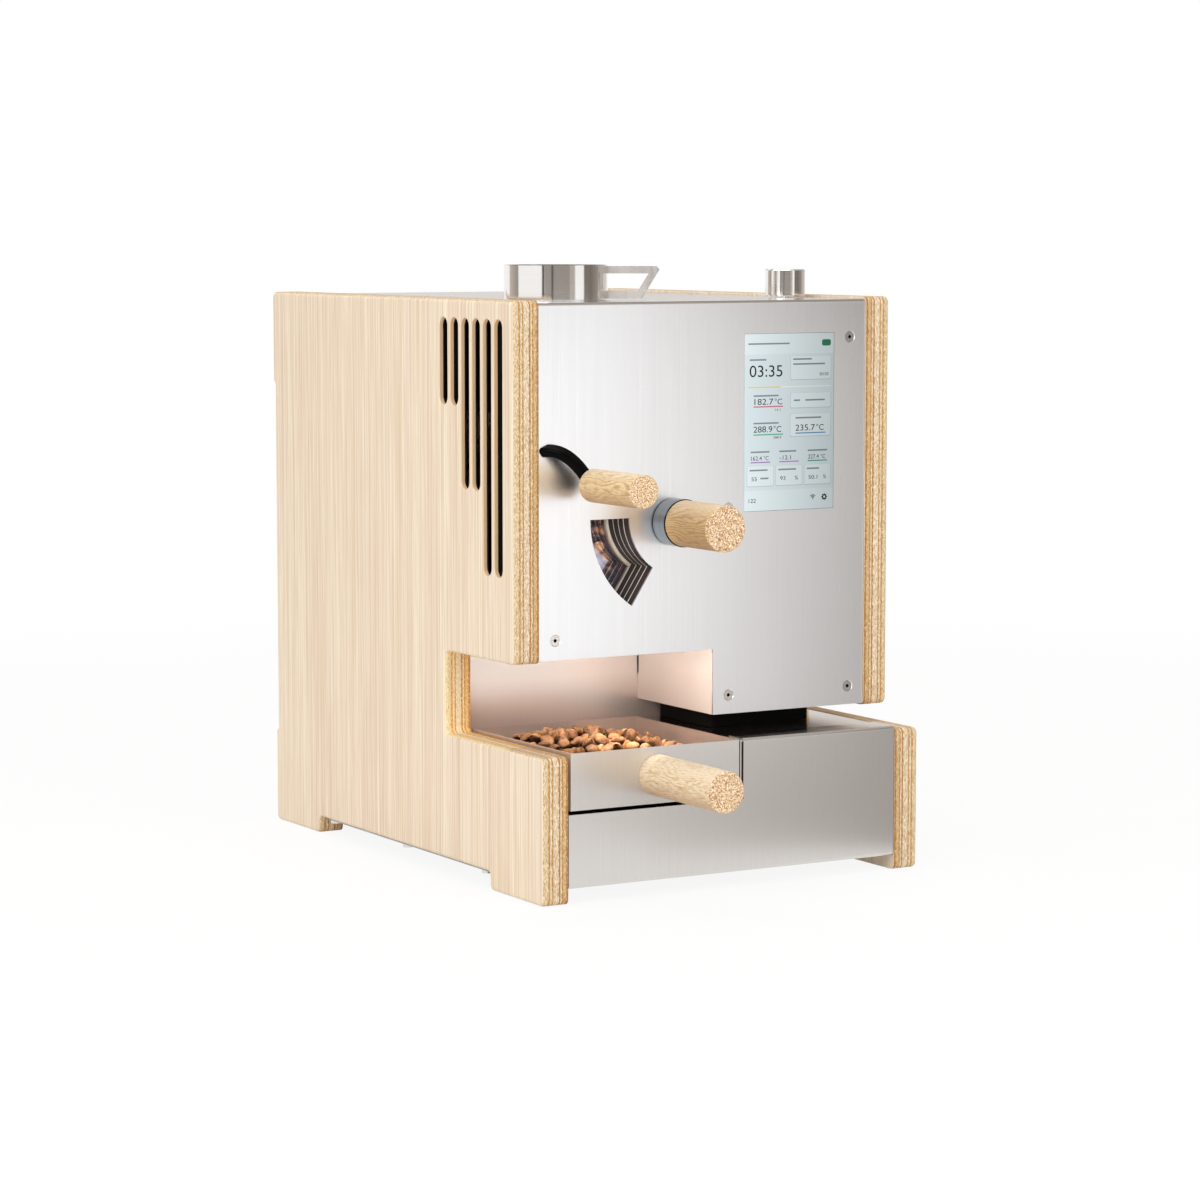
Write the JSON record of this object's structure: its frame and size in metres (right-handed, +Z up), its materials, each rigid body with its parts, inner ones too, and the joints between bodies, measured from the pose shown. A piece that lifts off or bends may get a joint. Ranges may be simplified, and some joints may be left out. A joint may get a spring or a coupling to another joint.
{
  "type": "coffee roaster",
  "caption": "Home coffee roaster: steel cabinet between plywood sides, with a drum, touch screen, trier, drop lever, inlet cup, bean tray and chaff drawer.",
  "frame": {"origin": "centre of the bounding box's bottom face, on the worktop under the panels' feet", "axes": "+X to the right seen from the front, +Y to the back, +Z up"},
  "size_m": [0.323, 0.5359, 0.452],
  "materials": {
    "birch_ply": "clear-oiled birch plywood with a pale veneer",
    "brushed_sheet": "vertical brushed stainless sheet",
    "plain_sheet": "plain steel sheet",
    "polished_steel": "fine turned and polished stainless steel",
    "oak": "clear-oiled oak",
    "black_arm": "polished black",
    "chamber_steel": "heat-tinted steel",
    "machined_steel": "machined steel",
    "gear_steel": "oiled steel",
    "dark_spacer": "dark blackened sheet",
    "light_shim": "bare aluminium edge",
    "cream_frame": "matt cream heat-proof board",
    "sight_glass": "clear heat-proof glass",
    "screen_glass": "lit screen glass",
    "black_plastic": "black moulded plastic",
    "rocker_plastic": "glossy black plastic",
    "circuit_board": "green circuit board with black parts",
    "silicone": "grey silicone rubber",
    "spun_aluminium": "spun aluminium",
    "heater_ceramic": "fired ceramic in a steel tube",
    "motor_paint": "black painted steel",
    "coffee_beans": "roasted coffee beans"
  },
  "bodies": {
    "cabinet": {"left_panel": "birch_ply", "right_panel": "birch_ply", "front_plate": "brushed_sheet", "top_cover": "brushed_sheet", "base_plate": "plain_sheet", "back_plate": "plain_sheet", "niche_liner": "brushed_sheet", "bulkhead": "brushed_sheet", "floor_pan": "plain_sheet", "duct_seal": "silicone", "cooling_deck": "brushed_sheet", "corner_brackets": "plain_sheet", "chamber_front": "chamber_steel", "drum_jacket": "chamber_steel", "chamber_back": "chamber_steel", "drum_bearings": "machined_steel", "window_spacers": "dark_spacer", "window_shims": "light_shim", "window_frame": "cream_frame", "sight_glass": "sight_glass", "display_panel": "screen_glass", "display_module": "black_plastic", "control_board": "circuit_board", "power_inlet": "black_plastic", "inlet_flange": "plain_sheet", "inlet_chute": "plain_sheet", "encoder_body": "black_plastic", "cyclone": "spun_aluminium", "exhaust_duct": "spun_aluminium", "blower_housing": "spun_aluminium", "air_heater": "heater_ceramic", "drum_motor": "motor_paint", "drive_bracket": "plain_sheet", "cooling_fan_frame": "black_plastic", "countersunk_screws": "machined_steel", "base_screws": "machined_steel"},
    "drum_set": {"drum": "chamber_steel", "drum_shaft": "machined_steel", "drum_gear": "gear_steel"},
    "pinion": {"motor_pinion": "gear_steel"},
    "blower_rotor": {"blower_impeller": "spun_aluminium"},
    "cooling_rotor": {"cooling_fan_rotor": "black_plastic"},
    "cup": {"inlet_cup": "polished_steel", "cup_handle": "polished_steel"},
    "encoder_ring": {"encoder_rotor": "black_plastic"},
    "knob": {"control_knob": "polished_steel"},
    "lever": {"lever_arm": "black_arm", "lever_shaft": "machined_steel", "lever_grip": "oak"},
    "link": {"drop_link": "machined_steel"},
    "gate": {"drop_gate": "machined_steel"},
    "collar": {"trier_collar": "polished_steel"},
    "trier": {"trier_scoop": "polished_steel", "trier_grip": "oak"},
    "tray": {"bean_tray": "brushed_sheet", "tray_handle": "oak", "bean_heap": "coffee_beans"},
    "drawer": {"chaff_drawer": "brushed_sheet", "chaff_fascia": "brushed_sheet"},
    "rocker": {"power_rocker": "rocker_plastic"}
  },
  "joints": [
    {"name": "drum_spin", "type": "hinge", "parent": "cabinet", "child": "drum_set", "pos_m": [-0.021, 0.05765, 0.27], "axis": [0, 1, 0], "continuous": true},
    {"name": "pinion_spin", "type": "hinge", "parent": "cabinet", "child": "pinion", "pos_m": [-0.066, 0.08565, 0.27], "axis": [0, 1, 0], "continuous": true},
    {"name": "blower_spin", "type": "hinge", "parent": "cabinet", "child": "blower_rotor", "pos_m": [0.08, 0.23865, 0.244], "axis": [0, 1, 0], "continuous": true},
    {"name": "cooling_fan_spin", "type": "hinge", "parent": "cabinet", "child": "cooling_rotor", "pos_m": [-0.07, -0.01035, 0.0445], "axis": [0, 1, 0], "continuous": true},
    {"name": "inlet_turn", "type": "hinge", "parent": "cabinet", "child": "cup", "pos_m": [-0.079, -0.04935, 0.43], "axis": [0, 0, 1], "range_deg": [-90, 0]},
    {"name": "encoder_turn", "type": "hinge", "parent": "cabinet", "child": "encoder_ring", "pos_m": [0.118, -0.05635, 0.42], "axis": [0, 0, 1], "continuous": true},
    {"name": "knob_press", "type": "slide", "parent": "encoder_ring", "child": "knob", "axis": [0, 0, -1], "range_m": [0, 0.0008], "stiffness_N_per_m": 3000, "springref_m": -0.0012},
    {"name": "lever_turn", "type": "hinge", "parent": "cabinet", "child": "lever", "pos_m": [-0.1335, -0.13235, 0.321], "axis": [0, -1, 0], "range_deg": [0, 60]},
    {"name": "link_turn", "type": "hinge", "parent": "lever", "child": "link", "pos_m": [-0.11847, -0.12935, 0.32647], "axis": [0, -1, 0], "range_deg": [-60, 0]},
    {"name": "gate_turn", "type": "hinge", "parent": "cabinet", "child": "gate", "pos_m": [0.008, -0.11235, 0.236], "axis": [0, -1, 0], "range_deg": [0, 60]},
    {"name": "collar_turn", "type": "hinge", "parent": "cabinet", "child": "collar", "pos_m": [-0.0281, -0.13235, 0.2659], "axis": [0, 1, 0], "range_deg": [-180, 180]},
    {"name": "trier_pull", "type": "slide", "parent": "collar", "child": "trier", "axis": [0, -1, 0], "range_m": [0, 0.12]},
    {"name": "tray_slide", "type": "slide", "parent": "cabinet", "child": "tray", "axis": [0, -1, 0], "range_m": [0, 0.14]},
    {"name": "drawer_slide", "type": "slide", "parent": "cabinet", "child": "drawer", "axis": [0, -1, 0], "range_m": [0, 0.14]},
    {"name": "rocker_tilt", "type": "hinge", "parent": "cabinet", "child": "rocker", "pos_m": [-0.07, 0.26065, 0.066], "axis": [-1, 0, 0], "range_deg": [0, 16]}
  ],
  "couplings": [
    {"joint": "pinion_spin", "follows": "drum_spin", "ratio": -4},
    {"joint": "link_turn", "follows": "lever_turn", "ratio": -1},
    {"joint": "gate_turn", "follows": "lever_turn", "ratio": 1}
  ]
}
